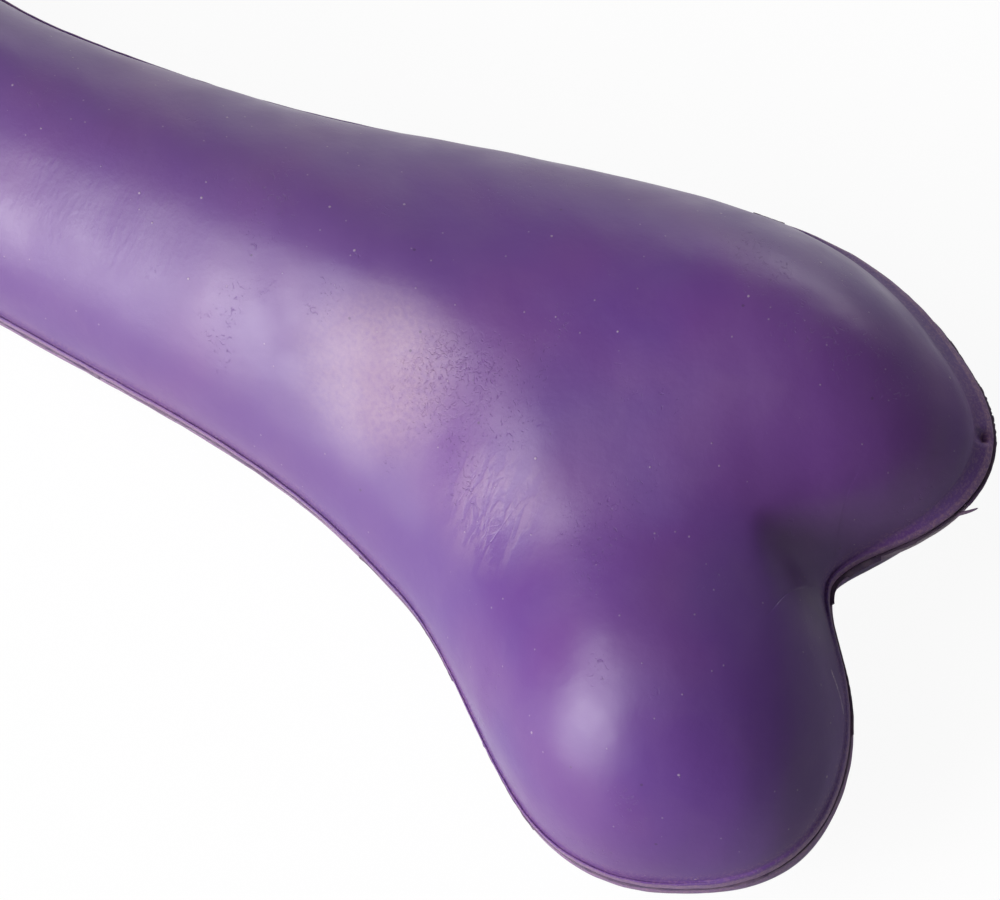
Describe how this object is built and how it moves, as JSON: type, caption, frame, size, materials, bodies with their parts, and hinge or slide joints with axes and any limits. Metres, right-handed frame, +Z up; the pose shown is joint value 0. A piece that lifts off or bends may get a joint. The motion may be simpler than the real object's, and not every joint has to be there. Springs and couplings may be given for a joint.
{
  "type": "rubber chew bone",
  "caption": "Hollow bone-shaped rubber chew toy with a lobed head at each end, moulded in halves bonded at a raised seam, with a snap-in squeaker underneath.",
  "frame": {"origin": "on the ground under the middle of the bounding box, where the bone rests on the flats of its lower half", "axes": "+X along the bone towards the end that the picture shows, +Y towards the long lobes, +Z up, square to the seam plane"},
  "size_m": [0.1966, 0.0578, 0.0327],
  "materials": {
    "purple_rubber_upper": "satin",
    "purple_rubber_lower": "satin",
    "bonding_gum": "matte",
    "squeaker_white": "moulded",
    "squeaker_cap_ivory": "moulded",
    "reed_seat_grey": "moulded",
    "reed_clip_grey": "moulded",
    "reed_film": "thin film"
  },
  "bodies": {
    "root": {"upper_half": "purple_rubber_upper", "lower_half": "purple_rubber_lower", "seam_gum": "bonding_gum", "squeaker_cup": "squeaker_white", "squeaker_cap": "squeaker_cap_ivory", "reed_seat": "reed_seat_grey", "reed_clip": "reed_clip_grey", "reed": "reed_film"}
  },
  "joints": []
}
